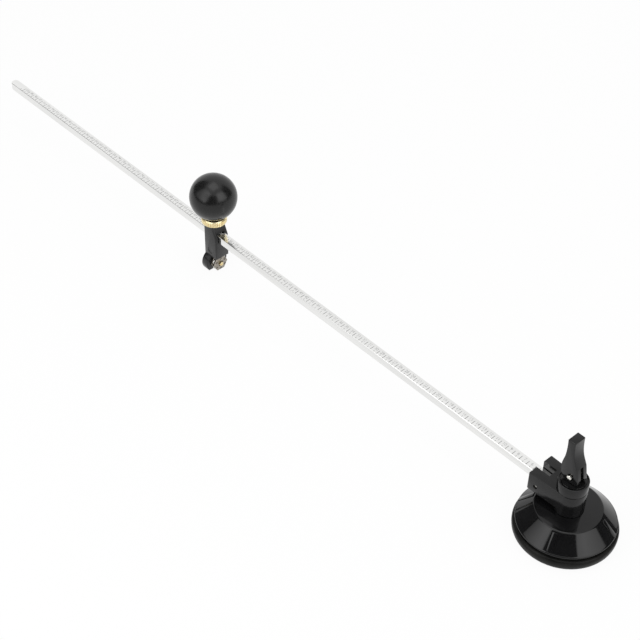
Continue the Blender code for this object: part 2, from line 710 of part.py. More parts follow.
def build():
    clear_scene()
    stem = empty("stem_frame", (0, 0, pin_z))
    lever = empty("lever_frame", (0, 0, 0), stem)
    arm = empty("arm_frame", (0, 0, 0))
    head = empty("head_frame", (-HEAD_DISTANCE, 0, 0), arm)
    pad = empty("pad_frame", (0, 0, 0), head)
    knob = empty("knob_frame", (0, 0, 0), pad)
    nut = empty("nut_frame", (0, 0, 0), head)
    turret_x = hood_front + GAP + turret_width / 2
    turret = empty("turret_frame", (turret_x, 0, turret_z), head)
    make_rubber_cup()
    make_cup_housing()
    make_retaining_collar()
    make_cup_stem(stem)
    make_cam_lever(lever)
    make_swivel_arm(arm)
    make_scale_bar(arm)
    make_head_body(head)
    make_clamp(pad, knob, nut)
    make_turret(head, turret)
    make_wheels(turret)


build()
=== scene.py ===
"""Looks of the circle cutter: its pieces in fine shape, their finishes, and the studio.

Sizes are in millimetres. The helpers turn them into metres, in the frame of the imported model:
the cup's axis is Z, the glass is z = 0, and the bar runs towards -X.
"""

import math

import bpy
from mathutils import Matrix, Vector


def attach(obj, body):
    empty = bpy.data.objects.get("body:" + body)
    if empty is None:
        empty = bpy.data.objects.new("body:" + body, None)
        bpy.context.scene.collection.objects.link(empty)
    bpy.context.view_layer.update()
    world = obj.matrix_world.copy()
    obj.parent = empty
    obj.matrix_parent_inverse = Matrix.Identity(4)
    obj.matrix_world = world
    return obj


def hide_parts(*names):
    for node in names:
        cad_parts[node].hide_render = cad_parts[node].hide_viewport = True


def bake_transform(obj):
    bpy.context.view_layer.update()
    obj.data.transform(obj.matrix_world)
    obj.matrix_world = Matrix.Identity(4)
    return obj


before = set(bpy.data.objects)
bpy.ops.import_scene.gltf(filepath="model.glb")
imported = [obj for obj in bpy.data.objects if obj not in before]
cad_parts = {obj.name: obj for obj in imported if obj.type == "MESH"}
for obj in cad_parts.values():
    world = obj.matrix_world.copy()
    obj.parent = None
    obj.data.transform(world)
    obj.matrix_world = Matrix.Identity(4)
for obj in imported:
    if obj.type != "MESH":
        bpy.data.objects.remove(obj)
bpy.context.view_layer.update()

MM = 0.001
AXES = "XYZ"
FACING = {"X": (0, math.pi / 2, 0), "Y": (math.pi / 2, 0, 0), "Z": (0, 0, 0)}

# Suction base, lever and arm
NECK_BORE = 3.3
NECK_TOP = 39.5
HUB_BORE = 6.5
HUB_RADIUS = 8.5
COLLAR_TOP = 41.5
RIBS = 4
FIRST_RIB = 20
PIN_HEIGHT = 46.2

# Bar and its scale: a number every 5 mm of the bar, for each centimetre of circle diameter
BAR_TOP = 30.0
BAR_BOTTOM = 24.8
BAR_HALF = 2.8
BAR_START = -14.6
BAR_END = -514.6
BAR_PIN = (-17.1, 0, 27.4)
BAR_PIN_HOLE = 1.3
MARK_STEP = 5
FIRST_NUMBER = 5
LAST_NUMBER = 100
INK_HEIGHT = 0.02

# Cutting head
HEAD_X = -293.3
HEAD_LEFT = HEAD_X - 3.9
HEAD_RIGHT = HEAD_X + 7.0
STUD_BORE = 2.8
BALL_RADIUS = 15
BALL_HEIGHT = 56.145
BALL_FOOT = 41.9
NUT_BOTTOM = 37.3
NUT_TOP = 41.5
NUT_RIDGES = 44
TURRET_X = -289.9
TURRET_Z = 5.4
TURRET_CENTRE = (TURRET_X, 0, TURRET_Z)
SCREW_BORE = 1.2
WHEELS = 6
WHEEL_CIRCLE = 3.8

# Studio: how white the floor and the world are, where 1 is white
FLOOR_WHITE = 0.94
WORLD_SOFT = 0.58
CARD_GREY = 0.16

# Camera fitted to the photograph: angles in degrees, metres, and pixels of its 640-pixel frame
CAMERA_AZIMUTH = -43.75
CAMERA_ELEVATION = 42.76
CAMERA_ROLL = 1.41
CAMERA_DISTANCE = 0.94904
CAMERA_TARGET = (-0.21088, 0.01503, 0)
FOCAL_PIXELS = 1530.8
FRAME_PIXELS = 640
SENSOR = 36


# ---------------------------------------------------------------- modelling helpers

def metres(point):
    """A place or shift in millimetres, as metres."""
    return [value * MM for value in point]


def pick_only(piece):
    """Selects one piece alone, in object mode."""
    if bpy.context.mode != "OBJECT":
        bpy.ops.object.mode_set(mode="OBJECT")
    bpy.ops.object.select_all(action="DESELECT")
    piece.select_set(True)
    bpy.context.view_layer.objects.active = piece


def open_new(name):
    """Names the primitive that was just added, puts its place in its mesh and opens it."""
    piece = bpy.context.object
    piece.name = name
    piece.data.name = name
    bpy.ops.object.transform_apply(location=True, rotation=True, scale=True)
    bpy.ops.object.mode_set(mode="EDIT")
    bpy.ops.mesh.select_all(action="SELECT")
    return piece


def close_up(piece):
    """Joins doubled points, fills open ends and turns the faces outwards."""
    bpy.ops.mesh.select_all(action="SELECT")
    bpy.ops.mesh.remove_doubles(threshold=0.000001)
    bpy.ops.mesh.fill_holes(sides=0)
    bpy.ops.mesh.select_all(action="SELECT")
    bpy.ops.mesh.normals_make_consistent(inside=False)
    bpy.ops.object.mode_set(mode="OBJECT")
    return piece


def turned(name, rings, centre=(0, 0, 0), axis="Z", steps=96):
    """A circle pulled along its axis and sized, ring by ring. Rings are (radius, reach)."""
    along = AXES.index(axis)

    def hub(reach):
        place = list(centre)
        place[along] += reach
        return metres(place)

    bpy.ops.object.select_all(action="DESELECT")
    bpy.ops.mesh.primitive_circle_add(
        vertices=steps, radius=rings[0][0] * MM, location=hub(rings[0][1]), rotation=FACING[axis]
    )
    piece = open_new(name)
    for (radius, reach), (next_radius, next_reach) in zip(rings, rings[1:]):
        step = [0, 0, 0]
        step[along] = (next_reach - reach) * MM
        size = [next_radius / radius] * 3
        size[along] = 1
        bpy.ops.mesh.extrude_region_move(TRANSFORM_OT_translate={"value": step})
        bpy.ops.transform.resize(value=size, center_override=hub(next_reach))
    return close_up(piece)


def traced(name, outline, low, high, plane="XZ"):
    """An outline drawn point by point in a plane, filled, and pulled from low to high across it."""
    first, second = (AXES.index(letter) for letter in plane)
    across = 3 - first - second

    def spot(point, depth):
        place = [0, 0, 0]
        place[first], place[second], place[across] = point[0], point[1], depth
        return metres(place)

    bpy.ops.object.select_all(action="DESELECT")
    bpy.ops.mesh.primitive_plane_add(size=MM, location=spot(outline[0], low))
    piece = open_new(name)
    bpy.ops.mesh.merge(type="CENTER")
    for start, end in zip(outline, outline[1:]):
        step = Vector(spot(end, low)) - Vector(spot(start, low))
        bpy.ops.mesh.extrude_region_move(TRANSFORM_OT_translate={"value": step})
    bpy.ops.mesh.select_all(action="SELECT")
    bpy.ops.mesh.edge_face_add()
    pull = [0, 0, 0]
    pull[across] = (high - low) * MM
    bpy.ops.mesh.extrude_region_move(TRANSFORM_OT_translate={"value": pull})
    return close_up(piece)


def block(name, low, high):
    """A block between two corners."""
    middle = [(a + b) / 2 * MM for a, b in zip(low, high)]
    size = [(b - a) * MM for a, b in zip(low, high)]
    bpy.ops.object.select_all(action="DESELECT")
    bpy.ops.mesh.primitive_cube_add(size=1, location=middle, scale=size)
    return close_up(open_new(name))


def arc(centre, radius, start, end, steps):
    """Points on an arc, angles in degrees."""
    turns = [math.radians(start + (end - start) * i / steps) for i in range(steps + 1)]
    return [(centre[0] + radius * math.cos(t), centre[1] + radius * math.sin(t)) for t in turns]


def use(piece, kind, **settings):
    """Puts a modifier on a piece and applies it."""
    pick_only(piece)
    step = piece.modifiers.new(kind.lower(), kind)
    for name, value in settings.items():
        setattr(step, name, value)
    bpy.ops.object.modifier_apply(modifier=step.name)
    return piece


def carve(piece, tool, operation="DIFFERENCE"):
    """Cuts a tool shape from a piece, or joins it on, and takes the tool away."""
    use(piece, "BOOLEAN", object=tool, operation=operation, solver="EXACT")
    bpy.data.objects.remove(tool, do_unlink=True)
    return piece


def soften(piece, width, steps=3, angle=35):
    """A round along the edges that turn by more than an angle in degrees."""
    return use(
        piece, "BEVEL", width=width * MM, segments=steps, limit_method="ANGLE",
        angle_limit=math.radians(angle),
    )


def smooth(piece, angle=28):
    """Smooth shading, but for edges that turn by more than an angle in degrees."""
    pick_only(piece)
    bpy.ops.object.shade_smooth_by_angle(angle=math.radians(angle))
    return piece


def copy_of(piece, name, shift):
    """A copy with its own mesh, moved into its place."""
    pick_only(piece)
    bpy.ops.object.duplicate()
    made = bpy.context.object
    made.name = name
    made.data.name = name
    bpy.ops.object.mode_set(mode="EDIT")
    bpy.ops.mesh.select_all(action="SELECT")
    bpy.ops.transform.translate(value=metres(shift))
    bpy.ops.object.mode_set(mode="OBJECT")
    return made


def fit(piece, body, slot, finish, *nodes):
    """Gives a finished piece its material and its body, and hides the CAD nodes that it stands for.
    """
    piece.data.materials.clear()
    piece.data.materials.append(finish)
    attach(piece, body)
    if nodes:
        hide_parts(*nodes)
    return piece


# ---------------------------------------------------------------- finishes

def new_finish(name):
    made = bpy.data.materials.new(name)
    made.use_nodes = True
    return made, made.node_tree.nodes, made.node_tree.links


def grain(nodes, links, scale, stretch=(1, 1, 1), detail=3.0, roughness=0.55):
    """Noise on Object coordinates, per metre, stretched where asked."""
    where = nodes.new("ShaderNodeTexCoord")
    turn = nodes.new("ShaderNodeMapping")
    turn.inputs["Scale"].default_value = stretch
    noise = nodes.new("ShaderNodeTexNoise")
    noise.inputs["Scale"].default_value = scale
    noise.inputs["Detail"].default_value = detail
    noise.inputs["Roughness"].default_value = roughness
    links.new(where.outputs["Object"], turn.inputs["Vector"])
    links.new(turn.outputs["Vector"], noise.inputs["Vector"])
    return noise.outputs["Fac"]


def spread(nodes, links, value, low, high):
    """Spreads a noise value over a range."""
    span = nodes.new("ShaderNodeMapRange")
    span.inputs["From Min"].default_value = 0.3
    span.inputs["From Max"].default_value = 0.7
    span.inputs["To Min"].default_value = low
    span.inputs["To Max"].default_value = high
    links.new(value, span.inputs["Value"])
    return span.outputs["Result"]


def tint(nodes, links, value, dark, light):
    """A colour between two, by a noise value."""
    mix = nodes.new("ShaderNodeMix")
    mix.data_type = "RGBA"
    mix.inputs["A"].default_value = (*dark, 1)
    mix.inputs["B"].default_value = (*light, 1)
    links.new(value, mix.inputs["Factor"])
    return mix.outputs["Result"]


def bump(nodes, links, value, height, below=None):
    """A bump of a height in metres."""
    step = nodes.new("ShaderNodeBump")
    step.inputs["Strength"].default_value = 1.0
    step.inputs["Distance"].default_value = height
    links.new(value, step.inputs["Height"])
    if below is not None:
        links.new(below, step.inputs["Normal"])
    return step.outputs["Normal"]


def finish_of(name, dark, light, rough, metallic=0.0, ior=1.45, patches=120, grit=2500,
              depth=0.000002, stretch=(1, 1, 1), swell=None):
    """A finish with cloudy colour and polish, a fine grain, and a slow swell where given."""
    made, nodes, links = new_finish(name)
    skin = nodes["Principled BSDF"]
    skin.inputs["Metallic"].default_value = metallic
    skin.inputs["IOR"].default_value = ior
    cloud = grain(nodes, links, patches, stretch)
    fine = grain(nodes, links, grit, stretch, detail=2.0)
    even = spread(nodes, links, cloud, 0.0, 1.0)
    links.new(tint(nodes, links, even, dark, light), skin.inputs["Base Color"])
    polish = grain(nodes, links, patches * 3.3, stretch)
    links.new(spread(nodes, links, polish, *rough), skin.inputs["Roughness"])
    below = None
    if swell:
        below = bump(nodes, links, grain(nodes, links, swell[0], detail=1.0), swell[1])
    links.new(bump(nodes, links, fine, depth, below), skin.inputs["Normal"])
    return made


gloss_black = finish_of(
    "housing_gloss_black", (0.004, 0.004, 0.0043), (0.0065, 0.0065, 0.0068), (0.05, 0.09), ior=1.38,
    patches=90, grit=1800, depth=0.0000004, swell=(160, 0.000004),
)
satin_black = finish_of(
    "arm_satin_black", (0.006, 0.006, 0.0062), (0.011, 0.011, 0.0113), (0.1, 0.18), ior=1.355,
    patches=150, grit=5200, depth=0.000003,
)
ball_black = finish_of(
    "ball_black", (0.005, 0.005, 0.005), (0.009, 0.009, 0.009), (0.2, 0.28), ior=1.43,
    patches=110, grit=3600, depth=0.0000025,
)
rubber_black = finish_of(
    "cup_rubber_black", (0.006, 0.006, 0.0056), (0.012, 0.012, 0.011), (0.3, 0.42), ior=1.2,
    patches=130, grit=4200, depth=0.000008,
)
cast_black = finish_of(
    "head_painted_black", (0.008, 0.008, 0.0083), (0.016, 0.016, 0.0165), (0.17, 0.27), ior=1.42,
    patches=220, grit=2600, depth=0.00001,
)
bar_steel = finish_of(
    "bar_drawn_steel", (0.77, 0.77, 0.76), (0.85, 0.85, 0.84), (0.07, 0.13), metallic=1.0,
    patches=260, grit=3800, depth=0.0000012, stretch=(0.04, 1, 1),
)
pin_steel = finish_of(
    "pin_polished_steel", (0.74, 0.73, 0.68), (0.86, 0.85, 0.79), (0.14, 0.24), metallic=1.0,
    patches=600, grit=4000, depth=0.0000008,
)
wheel_steel = finish_of(
    "wheel_ground_steel", (0.6, 0.59, 0.57), (0.76, 0.75, 0.73), (0.2, 0.34), metallic=1.0,
    patches=900, grit=6000, depth=0.0000015,
)
turret_steel = finish_of(
    "turret_oiled_steel", (0.27, 0.245, 0.205), (0.39, 0.36, 0.32), (0.28, 0.46), metallic=1.0,
    patches=500, grit=3500, depth=0.000004,
)
nut_brass = finish_of(
    "nut_bright_brass", (0.86, 0.73, 0.42), (0.96, 0.86, 0.58), (0.24, 0.38), metallic=1.0,
    patches=420, grit=3000, depth=0.0000015,
)
mark_ink = finish_of(
    "scale_mark_black", (0.04, 0.04, 0.04), (0.3, 0.3, 0.29), (0.4, 0.55), ior=1.3,
    patches=160, grit=5000, depth=0.000002,
)
number_ink = finish_of(
    "scale_number_grey", (0.22, 0.22, 0.22), (0.64, 0.64, 0.63), (0.4, 0.55), ior=1.3,
    patches=110, grit=5000, depth=0.000002,
)


# ---------------------------------------------------------------- suction base

def make_suction_rubber():
    """Soft cup, domed below, with two grooves in its lip, and its middle as a separate piece."""
    rings = [(9, 1.74), (13, 1.42), (18, 0.85), (22, 0.2), (23.4, 0)]
    for groove in (24.1, 25.4):
        rings += [(groove, 0), (groove + 0.1, 0.25), (groove + 0.4, 0.25), (groove + 0.5, 0)]
    rings += [(26.6, 0), (26.85, 0.1), (27.4, 0.75), (28.05, 1.55), (28.5, 2.3), (28.8, 3.2)]
    rings += [(28.95, 4.2), (29.0, 5.2), (28.95, 6.0), (28.75, 6.7), (28.4, 7.2), (27.95, 7.5)]
    rings += [(27.3, 7.65), (26.6, 7.7)]
    rings += [(26.3, 7.9), (26.2, 9.1), (24.6, 9.1), (21.6, 5.4), (9, 5.4), (9, 1.74)]
    cup = smooth(turned("suction_rubber", rings, steps=128))
    fit(cup, "base", "cup_rubber", rubber_black, "rubber_cup")

    rings = [(8, 1.8), (8.9, 1.75), (9, 1.85), (9, 3.0), (9, 4.2), (9, 5.4), (9, 8.3)]
    rings += [(8.8, 8.5), (3.3, 8.5), (3.3, 7.0), (6.8, 7.0), (6.8, 4.3)]
    middle = smooth(turned("suction_rubber_middle", rings, steps=96))
    middle.data.materials.append(rubber_black)
    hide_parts("rubber_cup")
    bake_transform(middle)


def make_housing_shell():
    """Glossy cone with a rolled rim, four low ribs, the plateau and the arm's neck."""
    rings = [(6.2, NECK_TOP), (6.2, 20.3), (6.5, 19.8), (7.0, 19.7), (18.1, 19.7)]
    rings += [(18.45, 19.64), (18.75, 19.5), (19.1, 19.2), (27.05, 10.8), (27.2, 10.66)]
    rings += [(27.38, 10.54), (27.56, 10.42), (27.69, 10.26), (27.75, 10.05), (27.75, 9.75)]
    rings += [(27.66, 9.52), (27.42, 9.4), (25.75, 9.4), (17.7, 17.7)]
    rings += [(NECK_BORE, 17.7), (NECK_BORE, NECK_TOP), (6.2, NECK_TOP)]
    shell = turned("housing_shell", rings, steps=128)
    rib_side = [
        (19.7, 18.1), (26.8, 10.2), (27.5, 10.5), (27.35, 10.95), (20.05, 18.95), (19.6, 18.95),
    ]
    for i in range(RIBS):
        turn = math.radians(FIRST_RIB + 360 / RIBS * i)
        rib = traced("rib_tool", rib_side, -1.4, 1.4)
        pick_only(rib)
        bpy.ops.object.mode_set(mode="EDIT")
        bpy.ops.mesh.select_all(action="SELECT")
        bpy.ops.transform.rotate(value=-turn, orient_axis="Z", center_override=(0, 0, 0))
        bpy.ops.object.mode_set(mode="OBJECT")
        carve(shell, soften(rib, 0.2, 2), "UNION")
    smooth(shell, 24)
    fit(shell, "base", "housing_plastic", gloss_black, "cup_housing")


def make_collar_cap():
    """Cap on the neck; the cam bears on its top."""
    rings = [(HUB_RADIUS, 35.45), (HUB_RADIUS, 41.15), (8.4, 41.4), (8.15, COLLAR_TOP)]
    rings += [(7.85, COLLAR_TOP), (7.7, 41.4), (7.6, 40.7), (7.1, 40.7), (6.95, 41.4)]
    rings += [(6.85, COLLAR_TOP), (3.5, COLLAR_TOP), (NECK_BORE, 41.3), (NECK_BORE, 39.8)]
    rings += [(HUB_BORE, 39.8), (HUB_BORE, 35.3), (8.35, 35.3), (HUB_RADIUS, 35.45)]
    cap = smooth(turned("collar_cap", rings))
    fit(cap, "base", "arm_plastic", satin_black, "retaining_collar")


# ---------------------------------------------------------------- lever

def curve_through(points, steps):
    """A smooth curve through the points."""
    ends = [points[0]] + list(points) + [points[-1]]
    curve = []
    for before, start, end, after in zip(ends, ends[1:], ends[2:], ends[3:]):
        for i in range(steps):
            t = i / steps
            weights = (
                (-t + 2 * t**2 - t**3) / 2, (2 - 5 * t**2 + 3 * t**3) / 2,
                (t + 4 * t**2 - 3 * t**3) / 2, (t**3 - t**2) / 2,
            )
            around = (before, start, end, after)
            curve.append(tuple(sum(w * p[k] for w, p in zip(weights, around)) for k in (0, 1)))
    return curve + [tuple(points[-1])]


def flank(start, end, shares, steps=5):
    """A side of the lever, by its shares of the way up and of the way across."""
    points = [
        (start[0] + across * (end[0] - start[0]), start[1] + up * (end[1] - start[1]))
        for up, across in shares
    ]
    return curve_through(points, steps)


def make_lever():
    """Forked lever with its cam, and the bright pin that it turns on."""
    upright_drop, folded_drop, steps = 4.4, 6.8, 16
    rate = (folded_drop - upright_drop) / (math.pi / 2)
    cam = []
    for i in range(steps + 1):
        turn = math.pi / 2 * i / steps
        reach = upright_drop + rate * turn
        cam.append((
            -reach * math.sin(turn) - rate * math.cos(turn),
            -reach * math.cos(turn) + rate * math.sin(turn),
        ))
    front_shares = ((0, 0), (0.2, 0.02), (0.47, 0.9), (0.74, 1.15), (1, 1))
    back_shares = ((0, 0), (0.3, 0.62), (0.52, 0.88), (0.76, 0.98), (1, 1))
    front = flank(cam[-1], (-5.4, 24.3), front_shares)
    back = flank((3.5, 6.6), (-0.4, 24.3), back_shares)
    heel = arc((3.0, -2.2), 2.2, 0, -90, 8)
    outline = [(x, z + PIN_HEIGHT) for x, z in cam + front[1:] + back[::-1] + heel]
    lever = soften(traced("lever_handle", outline, -3.9, 3.9), 0.35, 3, 50)
    carve(lever, block("fork_tool", (-9, -1.15, 38), (9, 1.15, PIN_HEIGHT + 6.8)))
    carve(lever, turned("hole_tool", [(1.9, -6), (1.9, 6)], (0, 0, PIN_HEIGHT), "Y", 48))
    smooth(lever, 26)
    fit(lever, "lever", "arm_plastic", satin_black, "cam_lever")

    rings = [(0.9, -5.3), (1.25, -5.22), (1.45, -5.0), (1.5, -4.7)]
    rings += [(1.5, 4.7), (1.45, 5.0), (1.25, 5.22), (0.9, 5.3)]
    pin = turned("lever_pin_bright", rings, (0, 0, PIN_HEIGHT), "Y", 48)
    fit(smooth(pin), "lever", "polished_steel", pin_steel, "lever_pin")


# ---------------------------------------------------------------- arm and bar

def make_arm():
    """Hub and block, split into two prongs around the bar."""
    outline = arc((0, 0), HUB_RADIUS, -90, 90, 48)
    outline += arc((-21.8, 8.6), 0.5, 90, 180, 4) + arc((-21.8, -8.6), 0.5, 180, 270, 4)
    arm = soften(traced("arm_block", outline, 22.9, 35.0, "XY"), 0.35, 3, 60)
    hub = turned("hub_tool", [(8.35, 20.0), (HUB_RADIUS, 20.15), (HUB_RADIUS, 24)], steps=96)
    carve(arm, hub, "UNION")
    carve(arm, turned("bore_tool", [(HUB_BORE, 18), (HUB_BORE, 37)], steps=96))
    carve(arm, block("slot_tool", (-24, -3.1, 24.5), (-13.2, 3.1, 37)))
    hole = turned("pin_hole_tool", [(BAR_PIN_HOLE, -10), (BAR_PIN_HOLE, 10)], BAR_PIN, "Y", 40)
    carve(arm, hole)
    smooth(arm, 30)
    fit(arm, "arm", "arm_plastic", satin_black, "swivel_arm")

    rings = [(0.75, -8.2), (1.0, -7.95), (1.0, 7.95), (0.75, 8.2)]
    pin = turned("bar_cross_pin", rings, BAR_PIN, "Y", 40)
    fit(smooth(pin), "arm", "polished_steel", pin_steel, "bar_pin")


def make_bar():
    """Square bar with soft edges and a round free end.

    Its long flats get a thin border, so that the soft edges beside them don't bend their shading.
    """
    flat_area = 0.0005
    outline = [(BAR_START, -BAR_HALF), (BAR_START, BAR_HALF)]
    outline += arc((BAR_END + BAR_HALF, 0), BAR_HALF, 90, 270, 24)
    bar = soften(traced("bar_square", outline, BAR_BOTTOM, BAR_TOP, "XY"), 0.24, 3, 60)
    pick_only(bar)
    bpy.ops.object.mode_set(mode="EDIT")
    bpy.ops.mesh.select_all(action="DESELECT")
    bpy.ops.mesh.select_mode(type="FACE")
    bpy.ops.object.mode_set(mode="OBJECT")
    for face in bar.data.polygons:
        face.select = face.area > flat_area
    bpy.ops.object.mode_set(mode="EDIT")
    bpy.ops.mesh.inset(thickness=0.05 * MM, use_individual=True)
    bpy.ops.mesh.select_mode(type="VERT")
    bpy.ops.object.mode_set(mode="OBJECT")
    hole = turned("bar_hole_tool", [(BAR_PIN_HOLE, -6), (BAR_PIN_HOLE, 6)], BAR_PIN, "Y", 40)
    carve(bar, hole)
    smooth(bar, 30)
    fit(bar, "arm", "polished_steel", bar_steel, "scale_bar")


def make_scale():
    """A long mark at each number, a short one half way between, and the plain numbers."""
    low, high = BAR_TOP - INK_HEIGHT, BAR_TOP + INK_HEIGHT
    numbers_shown = LAST_NUMBER - FIRST_NUMBER + 1
    long_mark = block("scale_marks", (-25.14, -2.5, low), (-24.86, 0.8, high))
    short_mark = block("short_mark", (-22.6, -2.5, low), (-22.4, -1.3, high))
    for mark, count in ((long_mark, numbers_shown), (short_mark, numbers_shown + 1)):
        use(mark, "ARRAY", count=count, use_relative_offset=False, use_constant_offset=True,
            constant_offset_displace=(-MARK_STEP * MM, 0, 0))
    pick_only(long_mark)
    short_mark.select_set(True)
    bpy.ops.object.join()
    fit(long_mark, "arm", "polished_steel", mark_ink)
    made = []
    for number in range(FIRST_NUMBER, LAST_NUMBER + 1):
        bpy.ops.object.select_all(action="DESELECT")
        bpy.ops.object.text_add(location=(0, 0, 0))
        word = bpy.context.object
        word.data.body = str(number)
        word.data.size = 2.9 * MM
        word.data.extrude = INK_HEIGHT * MM
        word.data.offset = -0.03 * MM
        word.data.resolution_u = 2
        word.data.align_x = "CENTER"
        word.data.space_character = 0.9
        bpy.ops.object.convert(target="MESH")
        word = bpy.context.object
        word.location = metres((-MARK_STEP * number + MARK_STEP / 2, -0.6, BAR_TOP))
        bpy.ops.object.transform_apply(location=True, rotation=True, scale=True)
        made.append(word)
    pick_only(made[0])
    for word in made:
        word.select_set(True)
    bpy.ops.object.join()
    numbers = bpy.context.object
    numbers.name = "scale_numbers"
    numbers.data.name = "scale_numbers"
    fit(numbers, "arm", "polished_steel", number_ink)


# ---------------------------------------------------------------- cutting head

def make_head():
    """Cast block with the bar's arched window and a sloped top, over a round hood."""
    side = [
        (HEAD_LEFT, 11.6), (HEAD_RIGHT, 11.6), (HEAD_RIGHT, 28.3),
        (HEAD_X + 4.0, 34.7), (HEAD_X + 4.0, 37.0), (HEAD_LEFT, 37.0),
    ]
    head = soften(traced("head_block", side, -5.15, 5.15), 0.4, 3, 40)

    hood_radius, hood_bottom = 8.1, 0.4
    dip = math.degrees(math.asin((hood_bottom - TURRET_Z) / hood_radius))
    hood = arc((0, TURRET_Z), hood_radius, dip, 180 - dip, 64)
    hood = traced("hood_tool", hood, HEAD_LEFT, HEAD_X + 1.4, "YZ")
    carve(head, soften(hood, 0.35, 3, 50), "UNION")

    half, rise, crown = 3.1, 0.8, 31.1
    radius = (half**2 + rise**2) / (2 * rise)
    lean = math.degrees(math.asin(half / radius))
    window = [(-half, 24.5), (half, 24.5)]
    window += arc((0, crown - radius), radius, 90 - lean, 90 + lean, 12)
    carve(head, traced("window_tool", window, HEAD_LEFT - 4, HEAD_RIGHT + 4, "YZ"))

    stud_hole = [(STUD_BORE, 29), (STUD_BORE, 40)]
    screw_hole = [(SCREW_BORE, -2.1), (SCREW_BORE, 4)]
    dimple = [(1.7, -4.85), (2.1, -4.9), (2.3, -5.1), (2.3, -7)]
    carve(head, turned("stud_tool", stud_hole, (HEAD_X, 0, 0), "Z", 64))
    carve(head, turned("screw_tool", screw_hole, (HEAD_X, 0, TURRET_Z), "X", 48))
    carve(head, turned("dimple_tool", dimple, (HEAD_X + 1.55, 0, 16.6), "Y", 40))
    smooth(head, 30)
    fit(head, "head", "head_metal", cast_black, "head_body")


def make_ball():
    """Ball with a flat foot and the stud's bore."""
    bpy.ops.object.select_all(action="DESELECT")
    bpy.ops.mesh.primitive_uv_sphere_add(
        segments=96, ring_count=64, radius=BALL_RADIUS * MM,
        location=metres((HEAD_X, 0, BALL_HEIGHT)),
    )
    ball = open_new("ball_grip")
    bpy.ops.mesh.bisect(
        plane_co=metres((HEAD_X, 0, BALL_FOOT)), plane_no=(0, 0, 1), use_fill=True,
        clear_inner=True,
    )
    bpy.ops.mesh.inset(thickness=0.3 * MM, depth=0)
    bpy.ops.mesh.inset(thickness=1.6 * MM, depth=0)
    bpy.ops.mesh.extrude_region_move(TRANSFORM_OT_translate={"value": (0, 0, 9.3 * MM)})
    close_up(ball)
    smooth(ball, 30)
    fit(ball, "knob", "ball_plastic", ball_black, "ball_knob")


def make_nut():
    """Brass nut: upright ridges all round, chamfered at both ends."""
    valley, crest = 7.55, 8.1
    ridges = []
    for i in range(NUT_RIDGES):
        for radius, share in ((valley, 0.0), (valley, 0.12), (crest, 0.3), (crest, 0.82)):
            turn = 2 * math.pi * (i + share) / NUT_RIDGES
            ridges.append((HEAD_X + radius * math.cos(turn), radius * math.sin(turn)))
    nut = traced("knurled_nut", ridges, NUT_BOTTOM, NUT_TOP, "XY")
    rings = [(STUD_BORE, NUT_BOTTOM), (7.5, NUT_BOTTOM), (crest, 37.9), (crest, 40.7)]
    rings += [(7.3, NUT_TOP), (STUD_BORE, NUT_TOP), (STUD_BORE, NUT_BOTTOM)]
    blank = turned("blank_tool", rings, (HEAD_X, 0, 0), steps=2 * NUT_RIDGES)
    carve(nut, blank, "INTERSECT")
    smooth(nut, 20)
    fit(nut, "nut", "brass", nut_brass, "lock_nut")


def wheel_shift(number):
    """From the turret's axis to the axle of a wheel, the first at the bottom."""
    turn = math.radians(-90 + 360 / WHEELS * number)
    return 0, WHEEL_CIRCLE * math.cos(turn), WHEEL_CIRCLE * math.sin(turn)


def make_turret():
    """Two six-sided flanges on a hub; the wheels sit between them, and a slotted screw holds it."""
    corners = [(y, z + TURRET_Z) for y, z in arc((0, 0), 5.55, 0, 300, 5)]
    drum = turned("turret_drum", [(1.9, -0.85), (1.9, 0.85)], TURRET_CENTRE, "X", 48)
    for low, high in ((-1.7, -0.75), (0.75, 1.7)):
        flange = traced("flange_tool", corners, TURRET_X + low, TURRET_X + high, "YZ")
        carve(drum, soften(flange, 0.22, 2), "UNION")
    bore = [(SCREW_BORE, -3), (SCREW_BORE, 3)]
    carve(drum, turned("bore_tool", bore, TURRET_CENTRE, "X", 40))
    carve(drum, turned("recess_tool", [(2.0, 1.2), (2.0, 3)], TURRET_CENTRE, "X", 40))
    for i in range(WHEELS):
        _, side, rise = wheel_shift(i)
        place = (TURRET_X, side, TURRET_Z + rise)
        carve(drum, turned("axle_tool", [(0.75, -3), (0.75, 3)], place, "X", 24))
    smooth(drum, 30)
    fit(drum, "turret", "turret_steel", turret_steel, "wheel_turret")

    rings = [(0.9, -295.1), (0.9, -288.3), (1.35, -288.3), (1.35, -287.15)]
    rings += [(1.2, -286.9), (1.0, -286.8)]
    screw = turned("turret_screw_slotted", rings, (0, 0, TURRET_Z), "X", 48)
    carve(screw, block("slot_tool", (-287.3, -3, TURRET_Z - 0.3), (-285, 3, TURRET_Z + 0.3)))
    smooth(soften(screw, 0.04, 2), 30)
    fit(screw, "head", "brass", nut_brass, "turret_screw")


def make_wheels():
    """Cutting wheels with a ground edge, and their axles."""
    rings = [(0.75, -0.45), (1.35, -0.45), (1.5, -0.35), (1.6, 0), (1.5, 0.35), (1.35, 0.45)]
    rings += [(0.75, 0.45), (0.75, -0.45)]
    wheel = smooth(turned("wheel_pattern", rings, TURRET_CENTRE, "X", 48), 20)
    rings = [(0.35, -1.7), (0.45, -1.6), (0.45, 1.6), (0.35, 1.7)]
    axle = smooth(turned("axle_pattern", rings, TURRET_CENTRE, "X", 24))
    for i in range(WHEELS):
        number, shift = i + 1, wheel_shift(i)
        fit(copy_of(wheel, f"wheel_{number}", shift), f"wheel_{number}",
            "polished_steel", wheel_steel, f"cutting_wheel_{number}")
        fit(copy_of(axle, f"axle_{number}", shift), "turret",
            "turret_steel", turret_steel, f"wheel_axle_{number}")
    bpy.data.objects.remove(wheel, do_unlink=True)
    bpy.data.objects.remove(axle, do_unlink=True)


